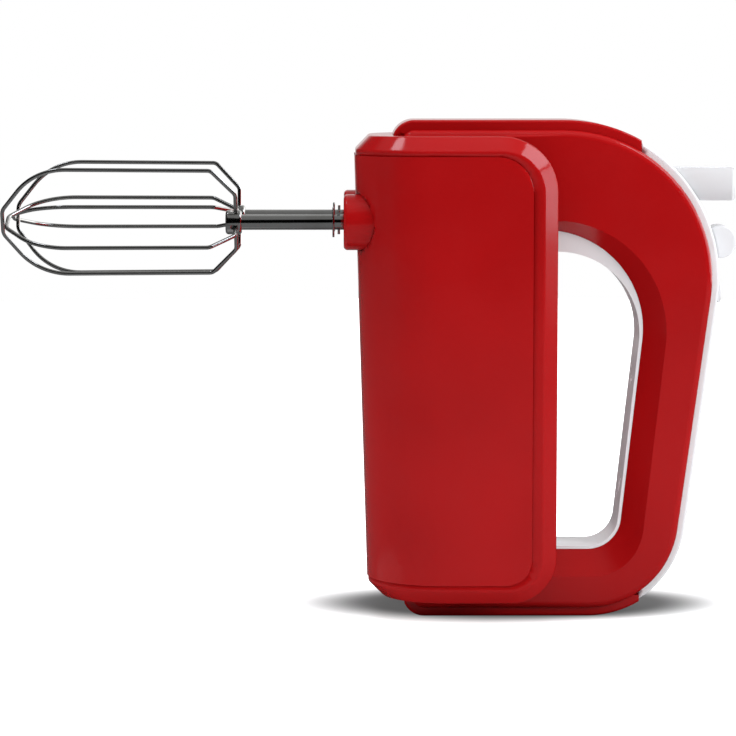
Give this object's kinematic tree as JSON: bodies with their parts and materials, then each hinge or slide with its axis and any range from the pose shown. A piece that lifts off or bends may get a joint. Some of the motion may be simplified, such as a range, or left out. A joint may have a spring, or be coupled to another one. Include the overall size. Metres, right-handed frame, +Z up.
{
  "type": "hand mixer",
  "caption": "Red hand mixer standing on its heel: shells, side covers and bands, worm-geared motor, two removable wire beaters, eject button, speed slider and turbo key.",
  "frame": {"origin": "middle of the flat heel that the mixer stands on", "axes": "+Z up from the heel to the nose, +X from the beaters to the handle, +Y across to the mixer's right side"},
  "size_m": [0.2915, 0.0854, 0.198],
  "materials": {
    "red_gloss": "moulded, high gloss",
    "white_gloss": "moulded, high gloss",
    "white_rubber": "soft moulded",
    "chrome": "bright plated wire and rod",
    "steel": "turned or drawn",
    "bronze": "sintered bronze and strip",
    "lamination": "stacked sheet",
    "copper": "enamelled copper",
    "carbon": "pressed carbon",
    "grey_plastic": "glass-filled nylon",
    "black_plastic": "moulded",
    "gear_nylon": "moulded nylon"
  },
  "bodies": {
    "root": {"left_shell": "red_gloss", "right_shell": "red_gloss", "left_side_cover": "red_gloss", "right_side_cover": "red_gloss", "nose_band": "red_gloss", "heel_band": "red_gloss", "control_strip": "white_gloss", "grip_liner": "white_gloss", "cord_grommet": "white_rubber", "housing_screws": "steel", "gearbox_frame": "grey_plastic", "front_motor_bush": "bronze", "worm_end_bush": "bronze", "rear_motor_bush": "bronze", "spindle_bushes": "bronze", "stator_core": "lamination", "field_coils": "copper", "rear_bracket": "grey_plastic", "stator_screws": "steel", "brush_holders": "bronze", "carbon_brushes": "carbon", "brush_springs": "steel", "switch_block": "black_plastic", "turbo_switch": "black_plastic"},
    "rotor": {"motor_shaft": "steel", "armature_core": "lamination", "armature_windings": "copper", "commutator": "copper", "cooling_fan": "black_plastic"},
    "left_drive": {"left_worm_wheel": "gear_nylon", "left_spindle": "steel"},
    "right_drive": {"right_worm_wheel": "gear_nylon", "right_spindle": "steel"},
    "left_pusher": {"left_ejector_pin": "steel"},
    "right_pusher": {"right_ejector_pin": "steel"},
    "left_beater": {"left_beater_shaft": "chrome", "left_beater_wires": "chrome"},
    "right_beater": {"right_beater_shaft": "chrome", "right_beater_wires": "chrome"},
    "eject_slider": {"eject_button": "white_gloss", "ejector_yoke": "gear_nylon", "eject_spring": "steel"},
    "speed_slider": {"speed_knob": "white_gloss", "speed_wiper": "bronze"},
    "turbo_key": {"turbo_button": "white_gloss", "turbo_spring": "steel"}
  },
  "joints": [
    {"name": "rotor_spin", "type": "hinge", "parent": "root", "child": "rotor", "pos_m": [-0.022, 0, 0.1], "axis": [0, 0, 1], "continuous": true},
    {"name": "left_beater_spin", "type": "hinge", "parent": "root", "child": "left_drive", "pos_m": [-0.022, -0.02, 0.158], "axis": [1, 0, 0], "continuous": true},
    {"name": "left_pin_slide", "type": "slide", "parent": "left_drive", "child": "left_pusher", "axis": [-1, 0, 0], "range_m": [0, 0.008]},
    {"name": "left_beater_removal", "type": "slide", "parent": "left_pusher", "child": "left_beater", "axis": [-1, 0, 0], "range_m": [0, 0.04]},
    {"name": "right_beater_spin", "type": "hinge", "parent": "root", "child": "right_drive", "pos_m": [-0.022, 0.02, 0.158], "axis": [1, 0, 0], "continuous": true},
    {"name": "right_pin_slide", "type": "slide", "parent": "right_drive", "child": "right_pusher", "axis": [-1, 0, 0], "range_m": [0, 0.008]},
    {"name": "right_beater_removal", "type": "slide", "parent": "right_pusher", "child": "right_beater", "axis": [-1, 0, 0], "range_m": [0, 0.04]},
    {"name": "eject_press", "type": "slide", "parent": "root", "child": "eject_slider", "axis": [-1, 0, 0], "range_m": [0, 0.008], "stiffness_N_per_m": 400, "springref_m": -0.004, "deforming": ["eject_spring"]},
    {"name": "speed_slide", "type": "hinge", "parent": "root", "child": "speed_slider", "pos_m": [0.0158, 0, 0.135], "axis": [0, 1, 0], "range_deg": [0, 8]},
    {"name": "turbo_press", "type": "slide", "parent": "root", "child": "turbo_key", "axis": [-1, 0, 0], "range_m": [0, 0.0012], "stiffness_N_per_m": 500, "springref_m": -0.001, "deforming": ["turbo_spring"]}
  ],
  "couplings": [
    {"joint": "left_beater_spin", "follows": "rotor_spin", "ratio": -0.041667},
    {"joint": "right_beater_spin", "follows": "rotor_spin", "ratio": 0.041667},
    {"joint": "left_pin_slide", "follows": "eject_press", "ratio": 1},
    {"joint": "right_pin_slide", "follows": "eject_press", "ratio": 1}
  ]
}
